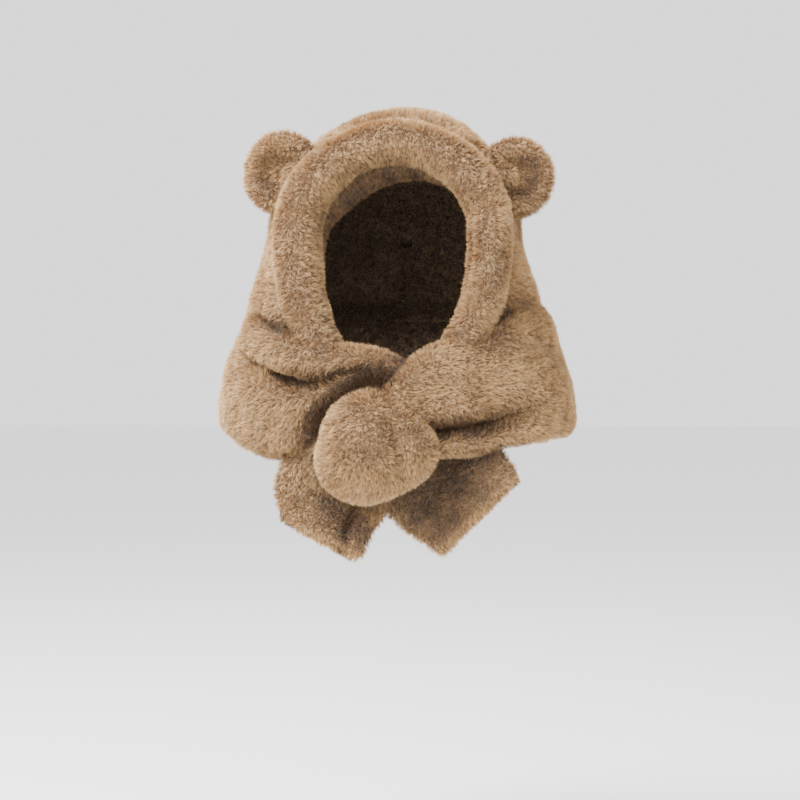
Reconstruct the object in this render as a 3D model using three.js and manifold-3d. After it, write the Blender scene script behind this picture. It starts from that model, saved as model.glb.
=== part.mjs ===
// An animal hood scarf in thick plush: a lined hood with a padded roll round the face and two
// round ears, sewn to a wide scarf whose halves cross in a knot under the chin.
// Millimetres, +Z up, the face looks along -Y, and +X is the viewer's right.
// The origin is where the top of the head touches the lining.

import * as THREE from "three";
import Module from "manifold-3d";

const radians = THREE.MathUtils.degToRad;

// Driving dimensions
const hoodWidth = 270; // over the outside of the hood behind the ears
const hoodDepth = 219; // from the middle of the front edge to the back of the head
const hoodBack = 118; // from the origin back to the outside of the hood
const hoodDrop = 214; // from the origin down to the seam with the scarf
const hoodSway = 9; // how far the back of the hood lies to the left of its front
const sideDrop = 122; // from the origin down to where the dome becomes the sides
const frontDip = 45; // how far the front edge lies below the crown
const frontNarrowing = 32; // how far the front edge lies inside each side of the hood
const chinTuck = 34; // how far each front corner turns in towards the chin
const chinDrop = 30; // how far the front corners reach below the seam
const sideFlare = 34; // how far the sides spread where they meet the scarf
const neckTuck = 12; // how far the hood's lower edge turns in under the scarf's upper edge
const frontLean = 8; // degrees that the face opening leans back at its top

const shellWall = 14; // plush wall of the hood, pile included
const liningWall = 5; // dark fleece
const liningFullness = 9; // how far the neck lining swells inwards below the hood's lower edge
const clearance = 0.3; // gap between any two pieces

const bandWidth = 48; // padded roll, seen from the front
const bandDepth = 54; // padded roll, from front to back
const hemRoot = 2; // padded hem inside the roll, from the middle of the roll to its outer side
const hemDepth = 44;
const hemSetback = 34; // from the middle of the roll back to the middle of the hem

const earDiameter = 87;
const earThickness = 30;
const earSpread = 242; // between the middles of the two ears
const earDrop = 62; // from the origin down to the middle of an ear
const earSetback = 50; // from the hood's front edge back to an ear
const earDish = 9; // depth of the hollow in the front of an ear
const earTurn = 12; // degrees that each ear faces outward

const scarfSpan = 383; // over both shoulders
const scarfBack = 118; // from the origin back to the middle of the scarf's wall
const scarfDepth = 286; // from the back of the scarf to the crossing in front
const scarfDrop = 258; // from the origin down to the middle of the scarf's back
const stripWidth = 138; // width of the scarf strip
const stripThickness = 36; // two layers of plush, pile included

const knotWidth = 118;
const knotHeight = 110;
const knotDepth = 76;
const tailWidth = 122;
const tailThickness = 30;
const tailReach = 132; // length of strip that each tail takes up

const plush = { color: 0xb8946e, roughness: 1, metalness: 0 };
const fleece = { color: 0x2e241b, roughness: 1, metalness: 0 };

// The hood's front view and side view as shares of its own sizes
const domeRoundness = 1.95;
const backRoundness = 2.4;
const widestShare = 0.42; // of the hood's depth, where it is widest
const highestShare = 0.46; // of the hood's depth, where it is highest
const domeShare = 0.56; // of the way from the crown down to a foot, where the dome ends

// How the hood's lower part takes its shape
const flareAhead = 0.7; // an exponent: below 1 the sides spread most ahead of the middle
const flareRise = 1.15; // an exponent: above 1 the spread sets in late down the sides
const tuckRise = 2.2; // the same for the turn in towards the chin
const tuckFade = 5; // an exponent: how fast that turn fades from the front edge back
const cornerFade = 3; // the same for the reach of the front corners
const seamStart = 0.5; // share of a side below which the lower edge turns in
const seamFade = 4; // an exponent: how near the front and the back that turn dies out

// How full the soft pieces are. A fullness of 2 gives an ellipse, and more gives a squarer profile.
const stripFullness = 2.6;
const endSteps = [30, 58, 82]; // degrees through the quarter circle that ends a strip
const endNarrowing = 1.1; // how much of that rounding the strip's width takes up
const rollEndSteps = [28, 55, 82]; // degrees through the quarter circle that ends a roll
const earRimFullness = 0.62; // exponents of the ear's profile, from its rim to its faces
const earFaceFullness = 0.8;
const dishReach = 0.6; // shares of the ear's radius
const tongueWidth = 0.22;
const tongueLength = 0.6;
const tongueStart = -0.55;
const gatherDepth = 0.05; // shares of the knot's radius
const gatherTurns = 3; // gathers round the knot
const gatherStart = radians(34);
const cornerSoftness = 0.1;
const wrapDepth = 0.1; // depth of the valley where the strip wraps over the knot's right side
const wrapPlace = 0.42;
const wrapWidth = 0.16;

// The padded roll from its left end over the top to its right end, as shares of its own sizes.
// fore: how far it comes forward of the hood's front edge, as a share of bandDepth.
const bandRows = [
  { width: 0.9, depth: 0.84, fore: 0.2 },
  { width: 1.04, depth: 0.94, fore: 0.06 },
  { width: 1.04, depth: 1.0, fore: 0.0 },
  { width: 1.0, depth: 1.0, fore: 0.0 },
  { width: 0.94, depth: 1.0, fore: 0.0 },
  { width: 0.96, depth: 1.0, fore: 0.0 },
  { width: 0.96, depth: 1.0, fore: 0.0 },
  { width: 0.94, depth: 0.92, fore: 0.06 },
  { width: 0.82, depth: 0.84, fore: 0.2 },
];

// The hem in the same order. hang: how far it shows inside the roll, as a share of bandWidth.
const hemRows = [
  { depth: 0.7, hang: -0.3 },
  { depth: 0.9, hang: -0.18 },
  { depth: 1.0, hang: 0.0 },
  { depth: 1.0, hang: 0.26 },
  { depth: 1.0, hang: 0.14 },
  { depth: 1.0, hang: -0.14 },
  { depth: 0.9, hang: -0.18 },
  { depth: 0.9, hang: -0.22 },
  { depth: 0.7, hang: -0.3 },
];

// The two ears. size: share of earDiameter. lift: share of earDiameter. tongue: how far the fold
// out of the hood fills the dish.
const earRows = [
  { name: "ear_left", side: -1, size: 1.04, lift: 0.065, tongue: 0.35 },
  { name: "ear_right", side: 1, size: 0.97, lift: -0.025, tongue: 1.1 },
];

// Each half of the scarf from the seam at the middle of the back, round a shoulder, to the front.
// out: share of half the span. fore: share of scarfDepth. drop: share of scarfDrop.
// tall: share of stripWidth. thick and crease: shares of stripThickness. lean: degrees.
const rightHalfRows = [
  { out: 0.0, fore: 0.0, drop: 1.0, tall: 0.98, thick: 0.83, lean: 8, crease: 0.0 },
  { out: 0.35, fore: 0.03, drop: 1.0, tall: 1.0, thick: 0.83, lean: 11, crease: 0.0 },
  { out: 0.65, fore: 0.15, drop: 1.0, tall: 1.03, thick: 0.89, lean: 13, crease: 0.0 },
  { out: 0.8, fore: 0.34, drop: 1.005, tall: 1.05, thick: 0.95, lean: 15, crease: 0.0 },
  { out: 0.795, fore: 0.56, drop: 1.015, tall: 1.05, thick: 1.0, lean: 15, crease: 0.0 },
  { out: 0.68, fore: 0.745, drop: 1.04, tall: 0.99, thick: 1.05, lean: 15, crease: 0.1 },
  { out: 0.46, fore: 0.87, drop: 1.11, tall: 0.85, thick: 1.11, lean: 14, crease: 0.45 },
  { out: 0.23, fore: 0.95, drop: 1.145, tall: 0.81, thick: 1.11, lean: 10, crease: 0.45 },
  { out: 0.04, fore: 1.0, drop: 1.225, tall: 0.64, thick: 1.05, lean: 4, crease: 0.2 },
  { out: -0.08, fore: 1.01, drop: 1.28, tall: 0.5, thick: 0.95, lean: 0, crease: 0.0 },
];
const leftHalfRows = [
  { out: 0.0, fore: 0.0, drop: 1.0, tall: 0.98, thick: 0.83, lean: 8, crease: 0.0 },
  { out: 0.35, fore: 0.03, drop: 1.0, tall: 1.0, thick: 0.83, lean: 11, crease: 0.0 },
  { out: 0.68, fore: 0.15, drop: 1.0, tall: 1.03, thick: 0.89, lean: 13, crease: 0.0 },
  { out: 0.85, fore: 0.34, drop: 0.99, tall: 1.02, thick: 0.95, lean: 14.5, crease: 0.0 },
  { out: 0.855, fore: 0.55, drop: 1.01, tall: 1.0, thick: 1.05, lean: 14.5, crease: 0.0 },
  { out: 0.74, fore: 0.73, drop: 1.07, tall: 0.97, thick: 1.2, lean: 12, crease: 0.25 },
  { out: 0.55, fore: 0.82, drop: 1.118, tall: 0.94, thick: 1.3, lean: 4, crease: 0.45 },
  { out: 0.36, fore: 0.86, drop: 1.1, tall: 0.74, thick: 1.22, lean: 0, crease: 0.36 },
  { out: 0.18, fore: 0.885, drop: 1.02, tall: 0.38, thick: 1.05, lean: 0, crease: 0.0 },
  { out: 0.0, fore: 0.885, drop: 1.05, tall: 0.34, thick: 0.95, lean: 0, crease: 0.0 },
  { out: -0.1, fore: 0.88, drop: 1.08, tall: 0.3, thick: 0.85, lean: 0, crease: 0.0 },
];
const rightCreasePlace = -0.55; // from -1 at the strip's lower edge to 1 at its upper edge
const leftCreasePlace = 0.35;

// Where the knot lies, as shares of scarfSpan, scarfDepth and scarfDrop
const knotPlace = { across: -0.025, fore: 1.035, drop: 1.313 };

// The tails from the knot to their ends. across, down: from the knot's middle, shares of tailReach.
// wide: share of tailWidth. thick, back and crease: shares of tailThickness.
// heading: degrees below level, turning from the viewer's right.
const leftTailRows = [
  { across: -0.1, down: 0.08, wide: 0.64, thick: 0.9, heading: 124, back: 0.15, crease: 0.0 },
  { across: -0.27, down: 0.25, wide: 0.9, thick: 1.0, heading: 125, back: 0.45, crease: 0.1 },
  { across: -0.38, down: 0.38, wide: 0.99, thick: 1.0, heading: 126, back: 0.45, crease: 0.3 },
  { across: -0.45, down: 0.51, wide: 0.95, thick: 0.95, heading: 125, back: 0.2, crease: 0.35 },
  { across: -0.475, down: 0.635, wide: 0.76, thick: 0.7, heading: 124, back: 0.0, crease: 0.2 },
];
const rightTailRows = [
  { across: 0.1, down: 0.02, wide: 0.66, thick: 0.9, heading: 40, back: 0.05, crease: 0.0 },
  { across: 0.28, down: 0.13, wide: 0.9, thick: 1.0, heading: 43, back: 0.45, crease: 0.0 },
  { across: 0.45, down: 0.25, wide: 1.02, thick: 1.0, heading: 45, back: 0.6, crease: 0.0 },
  { across: 0.6, down: 0.36, wide: 1.02, thick: 0.9, heading: 46, back: 0.25, crease: 0.0 },
  { across: 0.72, down: 0.455, wide: 0.98, thick: 0.6, heading: 46, back: -0.15, crease: 0.0 },
];
const tailCreasePlace = 0.6;

// How finely each surface is divided
const archSteps = 26;
const depthSteps = 9;
const liningFirstRow = 1; // the lining leaves out the row at the front edge
const profileSteps = 10; // on each side of a strip
const liningSeamStep = 3.4; // of those steps, down from the strip's upper edge
const stepsPerRow = 2;
const bandSteps = 32;
const roundSteps = 12;
const hemSteps = 26;
const hemSides = 8;
const earSteps = 18;
const knotSteps = 22;

const up = new THREE.Vector3(0, 0, 1);
const backward = new THREE.Vector3(0, 1, 0);

// A smooth value of one column of a table, at a share of the way from its first row to its last
function rowValue(rows, share, column) {
  const place = THREE.MathUtils.clamp(share, 0, 1) * (rows.length - 1);
  const i = Math.min(Math.floor(place), rows.length - 2);
  const f = place - i;
  const value = (k) => rows[THREE.MathUtils.clamp(k, 0, rows.length - 1)][column];
  const startSlope = (value(i + 1) - value(i - 1)) / 2;
  const endSlope = (value(i + 2) - value(i)) / 2;
  const rise = value(i + 1) - value(i);
  const bend = 3 * rise - 2 * startSlope - endSlope;
  return value(i) + f * (startSlope + f * (bend + f * (startSlope + endSlope - 2 * rise)));
}

// An indexed geometry from points and triangles, with points that coincide made one
function geometryOf(points, faces) {
  const places = new Map();
  const kept = [];
  const index = points.map((p) => {
    const key = [p.x, p.y, p.z].map((v) => Math.round(v * 1e3)).join();
    if (!places.has(key)) {
      places.set(key, kept.length);
      kept.push(p);
    }
    return places.get(key);
  });
  const whole = faces
    .map((face) => face.map((corner) => index[corner]))
    .filter(([a, b, c]) => a !== b && b !== c && c !== a);
  const geometry = new THREE.BufferGeometry();
  geometry.setAttribute(
    "position",
    new THREE.Float32BufferAttribute(kept.flatMap((p) => [p.x, p.y, p.z]), 3)
  );
  geometry.setIndex(whole.flat());
  return geometry;
}

// A closed body from rings of points, each end closed by a fan round the middle of its ring
function ringBody(rings) {
  const points = rings.flat();
  const faces = [];
  const n = rings[0].length;
  for (let r = 0; r + 1 < rings.length; r++) {
    for (let k = 0; k < n; k++) {
      const [a, b] = [r * n + k, r * n + ((k + 1) % n)];
      faces.push([a, b, a + n], [b, b + n, a + n]);
    }
  }
  for (const [ring, first, turned] of [[rings[0], 0, true], [rings.at(-1), (rings.length - 1) * n, false]]) {
    const middle = ring.reduce((sum, p) => sum.add(p), new THREE.Vector3()).divideScalar(n);
    points.push(middle);
    for (let k = 0; k < n; k++) {
      const [a, b] = [first + k, first + ((k + 1) % n)];
      faces.push(turned ? [points.length - 1, b, a] : [points.length - 1, a, b]);
    }
  }
  return geometryOf(points, faces);
}

// A closed wall between two grids of points that match row for row. openEnd leaves out the rim
// along the last row, where the two halves of a grid already meet.
function wallBody(outer, inner, openEnd) {
  const [rows, columns] = [outer.length, outer[0].length];
  const points = [...outer.flat(), ...inner.flat()];
  const at = (side, r, c) => side * rows * columns + r * columns + c;
  const faces = [];
  const quad = (a, b, c, d) => faces.push([a, b, c], [a, c, d]);
  for (let r = 0; r + 1 < rows; r++) {
    for (let c = 0; c + 1 < columns; c++) {
      quad(at(0, r, c), at(0, r, c + 1), at(0, r + 1, c + 1), at(0, r + 1, c));
      quad(at(1, r, c), at(1, r + 1, c), at(1, r + 1, c + 1), at(1, r, c + 1));
    }
    const last = columns - 1;
    quad(at(0, r, 0), at(0, r + 1, 0), at(1, r + 1, 0), at(1, r, 0));
    quad(at(0, r, last), at(1, r, last), at(1, r + 1, last), at(0, r + 1, last));
  }
  for (let c = 0; c + 1 < columns; c++) {
    const last = rows - 1;
    quad(at(0, 0, c), at(1, 0, c), at(1, 0, c + 1), at(0, 0, c + 1));
    if (!openEnd) quad(at(0, last, c), at(0, last, c + 1), at(1, last, c + 1), at(1, last, c));
  }
  return geometryOf(points, faces);
}

// The hood's outer surface. across runs from -1 at the left foot over the crown to 1 at the right
// foot, and along from 0 at the front edge to 1 at the seam down the back of the head.
function hoodPoint(across, along) {
  const side = Math.abs(across);
  const domeHeight = liningWall + clearance + shellWall + sideDrop;
  const round = (share) => Math.pow(Math.max(0, 1 - share ** backRoundness), 1 / backRoundness);
  const before = (place) => Math.max(0, (place - along) / place) ** 2;
  const behind = (place) => round(Math.max(0, (along - place) / (1 - place)));
  const halfWidth = (hoodWidth / 2) * behind(widestShare) - frontNarrowing * before(widestShare);
  const height = domeHeight * behind(highestShare) - frontDip * before(highestShare);

  const angle = Math.min(1, side / domeShare) * (Math.PI / 2);
  const leg = Math.max(0, (side - domeShare) / (1 - domeShare));
  const power = 2 / domeRoundness;
  const flare = sideFlare * Math.sin(Math.PI * along ** flareAhead) * leg ** flareRise;
  const tuck = chinTuck * (1 - along) ** tuckFade * leg ** tuckRise;
  const seam = neckTuck * Math.max(0, (leg - seamStart) / (1 - seamStart)) ** 2;
  const settled = Math.sin((Math.PI / 2) * Math.min(1, along / widestShare));
  const sway = hoodSway * settled * Math.min(1, side / domeShare);
  const foot = hoodDrop + chinDrop * (1 - along) ** cornerFade;
  const turnedIn = tuck + seam * behind(widestShare) * (1 - (1 - along) ** seamFade);
  const x = Math.sign(across) * (halfWidth * Math.sin(angle) ** power + flare - turnedIn) - sway;
  const z = leg > 0
    ? -sideDrop - leg * (foot - sideDrop)
    : -sideDrop + height * Math.max(0, Math.cos(angle)) ** power;
  const lean = Math.tan(radians(frontLean)) * (z + sideDrop) * (1 - along);
  const y = hoodBack - hoodDepth * (1 - along) + lean - seam * along ** seamFade;
  return new THREE.Vector3(x, y, z);
}

// The direction out of the hood at a place on its outer surface
function hoodNormal(across, along) {
  const small = 1e-3;
  const start = Math.min(along, 1 - small);
  const middle = THREE.MathUtils.clamp(across, -1 + small, 1 - small);
  const fore = hoodPoint(middle, start + small).sub(hoodPoint(middle, start));
  const over = hoodPoint(middle + small, start).sub(hoodPoint(middle - small, start));
  return over.cross(fore).normalize();
}

// A point that lies inset millimetres inside the hood's outer surface. Along the seam down the
// back the two sides share one direction.
function hoodInset(across, along, inset) {
  const normal = hoodNormal(across, along);
  if (along === 1) normal.add(hoodNormal(-across, along)).setX(0).normalize();
  return hoodPoint(across, along).addScaledVector(normal, -inset);
}

// A wall of the hood between two depths below its outer surface and two places along it
function hoodWall(nearInset, farInset, alongs) {
  const acrosses = Array.from({ length: archSteps + 1 }, (_, c) => (2 * c) / archSteps - 1);
  const grid = (inset) => alongs.map((t) => acrosses.map((s) => hoodInset(s, t, inset)));
  return wallBody(grid(nearInset), grid(farInset), alongs.at(-1) === 1);
}

// The rows of the hood's grid, closer together where the back rounds off
function hoodRows() {
  return Array.from({ length: depthSteps + 1 }, (_, i) => Math.sin(((Math.PI / 2) * i) / depthSteps));
}

// One ring of a strip's profile: up its outer side and down its inner side. across is the strip's
// width, out points to its outer side, and the fold sinks one row of points of the outer side.
function stripRing(centre, across, out, halfWide, halfThick, creaseDepth, creasePlace) {
  const ring = [];
  const creaseStep = Math.round((Math.acos(-creasePlace) / Math.PI) * profileSteps);
  for (const side of [1, -1]) {
    for (let k = 0; k < profileSteps; k++) {
      const v = -side * Math.cos((Math.PI * k) / profileSteps);
      const u = side * (1 - Math.abs(v) ** stripFullness) ** (1 / stripFullness) * halfThick;
      const creased = side === 1 && k === creaseStep ? creaseDepth : 0;
      ring.push(centre.clone().addScaledVector(across, v * halfWide).addScaledVector(out, u - creased));
    }
  }
  return ring;
}

// Rings that round off the end of a strip beyond its last section, heading along ahead
function roundedEnd(section, ahead, creasePlace) {
  return endSteps.map((degrees) => {
    const [c, s] = [Math.cos(radians(degrees)), Math.sin(radians(degrees))];
    const centre = section.centre.clone().addScaledVector(ahead, section.halfThick * s);
    const halfWide = section.halfWide - section.halfThick * endNarrowing * (1 - c);
    const sunk = section.crease * c;
    return stripRing(centre, section.across, section.out, halfWide, section.halfThick * c, sunk, creasePlace);
  });
}

// One half of the scarf, side 1 for the right and -1 for the left, as sections of its strip
function scarfSections(rows, side) {
  const middleAt = (share) => {
    const out = rowValue(rows, share, "out") * (scarfSpan / 2);
    const y = scarfBack - rowValue(rows, share, "fore") * scarfDepth;
    return new THREE.Vector3(side * Math.max(out, share === 0 ? clearance / 2 : -Infinity), y,
      -rowValue(rows, share, "drop") * scarfDrop);
  };
  const count = (rows.length - 1) * stepsPerRow;
  return Array.from({ length: count + 1 }, (_, i) => {
    const share = i / count;
    const ahead = middleAt(Math.min(1, share + 0.01)).sub(middleAt(Math.max(0, share - 0.01)));
    ahead.z = 0;
    if (i === 0) ahead.set(side, 0, 0);
    ahead.normalize();
    const level = new THREE.Vector3().crossVectors(ahead, up).multiplyScalar(-side);
    const lean = radians(rowValue(rows, share, "lean"));
    const across = up.clone().multiplyScalar(Math.cos(lean)).addScaledVector(level, -Math.sin(lean));
    const out = level.clone().multiplyScalar(Math.cos(lean)).addScaledVector(up, Math.sin(lean));
    return {
      centre: middleAt(share),
      ahead,
      across,
      out,
      halfWide: (rowValue(rows, share, "tall") * stripWidth) / 2,
      halfThick: (rowValue(rows, share, "thick") * stripThickness) / 2,
      crease: Math.max(0, rowValue(rows, share, "crease")) * stripThickness,
    };
  });
}

// A solid strip through its sections, rounded off at its far end and, if asked, at its near end
function stripBody(sections, creasePlace, roundStart, flip) {
  const rings = sections.map((s) => {
    return stripRing(s.centre, s.across, s.out, s.halfWide, s.halfThick, s.crease, creasePlace);
  });
  const last = sections.at(-1);
  rings.push(...roundedEnd(last, last.ahead, creasePlace));
  if (roundStart) {
    const first = sections[0];
    rings.unshift(...roundedEnd(first, first.ahead.clone().negate(), creasePlace).reverse());
  }
  return ringBody(flip ? rings.map((ring) => ring.slice().reverse()) : rings);
}

// A padded roll that follows the hood's front edge. shape gives its half sizes and its offsets
// towards the face and back into the hood, at a share of the way from its left end to its right.
function rollBody(steps, sides, shape) {
  const path = new THREE.CatmullRomCurve3(
    Array.from({ length: bandSteps + 1 }, (_, i) => hoodInset((2 * i) / bandSteps - 1, 0, shellWall / 2))
  );
  const into = new THREE.Vector3(0, Math.cos(radians(frontLean)), -Math.sin(radians(frontLean)));
  const section = (share, ahead, squeeze) => {
    const { halfWide, halfDeep, inward, behind } = shape(share);
    const tangent = path.getTangentAt(share);
    const outward = new THREE.Vector3().crossVectors(tangent, into).normalize();
    const centre = path.getPointAt(share)
      .addScaledVector(tangent, ahead * halfWide)
      .addScaledVector(outward, -inward)
      .addScaledVector(into, behind);
    return Array.from({ length: sides }, (_, k) => {
      const angle = (2 * Math.PI * k) / sides;
      return centre.clone()
        .addScaledVector(outward, Math.cos(angle) * halfWide * squeeze)
        .addScaledVector(into, -Math.sin(angle) * halfDeep * squeeze);
    });
  };
  const end = rollEndSteps.map((degrees) => [Math.sin(radians(degrees)), Math.cos(radians(degrees))]);
  return ringBody([
    ...end.map(([reach, squeeze]) => section(0, -reach, squeeze)).reverse(),
    ...Array.from({ length: steps + 1 }, (_, i) => section(i / steps, 0, 1)),
    ...end.map(([reach, squeeze]) => section(1, reach, squeeze)),
  ]);
}

// The roll round the face
function bandBody() {
  return rollBody(bandSteps, roundSteps, (share) => ({
    halfWide: (rowValue(bandRows, share, "width") * bandWidth) / 2,
    halfDeep: (rowValue(bandRows, share, "depth") * bandDepth) / 2,
    inward: 0,
    behind: -rowValue(bandRows, share, "fore") * bandDepth,
  }));
}

// The hem behind the roll, which hangs into the opening at the top left
function hemBody() {
  return rollBody(hemSteps, hemSides, (share) => {
    const reach = bandWidth * (0.5 + rowValue(hemRows, share, "hang"));
    return {
      halfWide: (reach - hemRoot) / 2,
      halfDeep: (rowValue(hemRows, share, "depth") * hemDepth) / 2,
      inward: (reach + hemRoot) / 2,
      behind: hemSetback,
    };
  });
}

// A stuffed ear: a thick disc with a full rim, hollowed in front, with a fold out of the hood
function earBody({ side, size, lift, tongue }) {
  const radius = (earDiameter * size) / 2;
  const rings = [];
  const ringCount = earSteps / 2 + 1;
  for (let i = 1; i < ringCount; i++) {
    const turn = (Math.PI * i) / ringCount;
    const reach = Math.sin(turn) ** earRimFullness;
    rings.push(Array.from({ length: earSteps }, (_, k) => {
      const angle = (-2 * Math.PI * k) / earSteps;
      const [x, z] = [reach * Math.cos(angle), reach * Math.sin(angle)];
      const rise = Math.abs(Math.cos(turn)) ** earFaceFullness * (earThickness / 2);
      const face = -Math.sign(Math.cos(turn)) * rise;
      const dish = turn < Math.PI / 2 ? earDish * Math.exp(-((reach / dishReach) ** 4)) : 0;
      const run = (side * x - tongueStart) / tongueLength;
      const fold = tongue * Math.exp(-((z / tongueWidth) ** 2) - run ** 2);
      return new THREE.Vector3(x * radius, face + dish * (1 - fold), z * radius);
    }));
  }
  const geometry = ringBody(rings);
  const y = hoodBack - hoodDepth + earSetback;
  geometry.rotateZ(side * radians(earTurn));
  return geometry.translate((side * earSpread) / 2, y, earDiameter * lift - earDrop);
}

// The knot: a full, slightly lopsided ball with shallow gathers, and a valley down its front where
// the strip wraps over its right side
function knotBody() {
  const rings = [];
  for (let i = 1; i < knotSteps / 2; i++) {
    const polar = (2 * Math.PI * i) / knotSteps;
    rings.push(Array.from({ length: knotSteps }, (_, k) => {
      const angle = (2 * Math.PI * k) / knotSteps;
      const [x, z] = [Math.sin(polar) * Math.cos(angle), Math.sin(polar) * Math.sin(angle)];
      const gather = gatherDepth * Math.cos(gatherTurns * angle + gatherStart) * Math.sin(polar) ** 2;
      const full = 1 + gather - cornerSoftness * Math.max(0, x) ** 2 * Math.max(0, z);
      const valley = wrapDepth * Math.exp(-(((x + z / 4 - wrapPlace) / wrapWidth) ** 2));
      const front = Math.cos(polar) * (1 - valley * Math.max(0, Math.sign(Math.cos(polar))));
      return new THREE.Vector3(
        (x * full * knotWidth) / 2,
        (-front * knotDepth) / 2,
        (z * full * knotHeight) / 2
      );
    }).reverse());
  }
  const middle = knotMiddle();
  return ringBody(rings).translate(middle.x, middle.y, middle.z);
}

function knotMiddle() {
  return new THREE.Vector3(
    knotPlace.across * scarfSpan,
    scarfBack - knotPlace.fore * scarfDepth,
    -knotPlace.drop * scarfDrop
  );
}

// One tail, a strip end that hangs out of the back of the knot
function tailBody(rows) {
  const count = (rows.length - 1) * stepsPerRow;
  const knot = knotMiddle();
  const sections = Array.from({ length: count + 1 }, (_, i) => {
    const share = i / count;
    const heading = radians(rowValue(rows, share, "heading"));
    const back = knotDepth / 2 + rowValue(rows, share, "back") * tailThickness;
    return {
      centre: knot.clone().add(new THREE.Vector3(
        rowValue(rows, share, "across") * tailReach,
        back,
        -rowValue(rows, share, "down") * tailReach
      )),
      ahead: new THREE.Vector3(Math.cos(heading), 0, -Math.sin(heading)),
      across: new THREE.Vector3(Math.sin(heading), 0, Math.cos(heading)),
      out: backward.clone().negate(),
      halfWide: (rowValue(rows, share, "wide") * tailWidth) / 2,
      halfThick: (rowValue(rows, share, "thick") * tailThickness) / 2,
      crease: Math.max(0, rowValue(rows, share, "crease")) * tailThickness,
    };
  });
  return stripBody(sections, tailCreasePlace, true, true);
}

// The fleece on the neck side of the scarf, from one shoulder round the back to the other. It swells
// inwards just below the hood's lower edge, where the two linings are sewn together.
function neckLiningBody(leftSections, rightSections) {
  const innerSteps = Array.from({ length: profileSteps - 2 }, (_, k) => k + 1);
  const reach = 4 * stepsPerRow;
  const sections = [
    ...leftSections.slice(1, reach + 1).reverse(),
    { ...rightSections[0], centre: rightSections[0].centre.clone().setX(0) },
    ...rightSections.slice(1, reach + 1),
  ];
  const swell = (k) => liningFullness * Math.exp(-(((k - liningSeamStep) / 1.5) ** 2));
  const grid = (away, full) => sections.map((s) => {
    const ring = stripRing(s.centre, s.across, s.out, s.halfWide, s.halfThick, 0, 0);
    return innerSteps.map((k) => {
      return ring[profileSteps + k].clone().addScaledVector(s.out, -away - full * swell(k));
    });
  });
  return wallBody(grid(liningWall, 1), grid(-clearance, 0), false);
}

const wasm = await Module();
wasm.setup();

// A solid from a closed geometry
function solidOf(geometry) {
  return new wasm.Manifold(new wasm.Mesh({
    numProp: 3,
    vertProperties: new Float32Array(geometry.getAttribute("position").array),
    triVerts: new Uint32Array(geometry.index.array),
  }));
}

// The same geometry with each point moved out along its normal
function grown(geometry, distance) {
  const copy = geometry.clone();
  copy.computeVertexNormals();
  const [position, normal] = [copy.getAttribute("position"), copy.getAttribute("normal")];
  for (let i = 0; i < position.count; i++) {
    const p = new THREE.Vector3().fromBufferAttribute(position, i);
    p.addScaledVector(new THREE.Vector3().fromBufferAttribute(normal, i), distance);
    position.setXYZ(i, p.x, p.y, p.z);
  }
  return copy;
}

// What is left of a piece outside the pieces that it lies against, a clearance away from each
function seated(geometry, ...neighbours) {
  const left = neighbours.reduce((piece, neighbour) => {
    return piece.subtract(solidOf(grown(neighbour, clearance)));
  }, solidOf(geometry));
  return left.decompose().sort((a, b) => b.volume() - a.volume())[0];
}

function meshOf(name, solid, finish) {
  const { vertProperties, triVerts } = solid.getMesh();
  const geometry = new THREE.BufferGeometry();
  geometry.setAttribute("position", new THREE.BufferAttribute(vertProperties, 3));
  geometry.setIndex(new THREE.BufferAttribute(triVerts, 1));
  const mesh = new THREE.Mesh(geometry, new THREE.MeshStandardMaterial(finish));
  mesh.name = name;
  return mesh;
}

const band = bandBody();
const hem = hemBody();
const rows = hoodRows();
const shell = hoodWall(0, shellWall, rows);
const liningInset = shellWall + clearance;
const lining = hoodWall(liningInset, liningInset + liningWall, rows.slice(liningFirstRow));
const rightSections = scarfSections(rightHalfRows, 1);
const leftSections = scarfSections(leftHalfRows, -1);
const rightHalf = stripBody(rightSections, rightCreasePlace, false, false);
const leftHalf = stripBody(leftSections, leftCreasePlace, false, true);
const neckLining = neckLiningBody(leftSections, rightSections);
const knot = knotBody();
const leftTail = tailBody(leftTailRows);
const rightTail = tailBody(rightTailRows);

const root = new THREE.Group();
root.add(
  meshOf("face_band", solidOf(band), plush),
  meshOf("scarf_knot", solidOf(knot), plush),
  meshOf("scarf_right", seated(rightHalf, band, knot), plush),
  meshOf("scarf_left", seated(leftHalf, band, knot, rightHalf), plush),
  meshOf("tail_left", seated(leftTail, knot, rightHalf, leftHalf), plush),
  meshOf("tail_right", seated(rightTail, knot, rightHalf, leftHalf, leftTail), plush),
  meshOf("hood_shell", seated(shell, band, rightHalf, leftHalf), plush),
  meshOf("face_hem", seated(hem, band, shell, rightHalf, leftHalf), plush),
  meshOf("hood_lining", seated(lining, band, hem, rightHalf, leftHalf), fleece),
  meshOf("neck_lining", seated(neckLining, band, hem, shell, lining, rightHalf, leftHalf), fleece),
  ...earRows.map((row) => meshOf(row.name, seated(earBody(row), shell, band), plush))
);

export default root;
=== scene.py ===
"""An animal hood scarf in short plush: the hood with its face roll, hem, ears and dark lining, and
the padded scarf tied in a half knot. Metres, +Z up, the face looks along -Y.

Each soft piece is a smooth skin, a little inside the solid that it stands for, and a pile of short
plush strands that reach out to where that solid's surface is."""
import math

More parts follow.
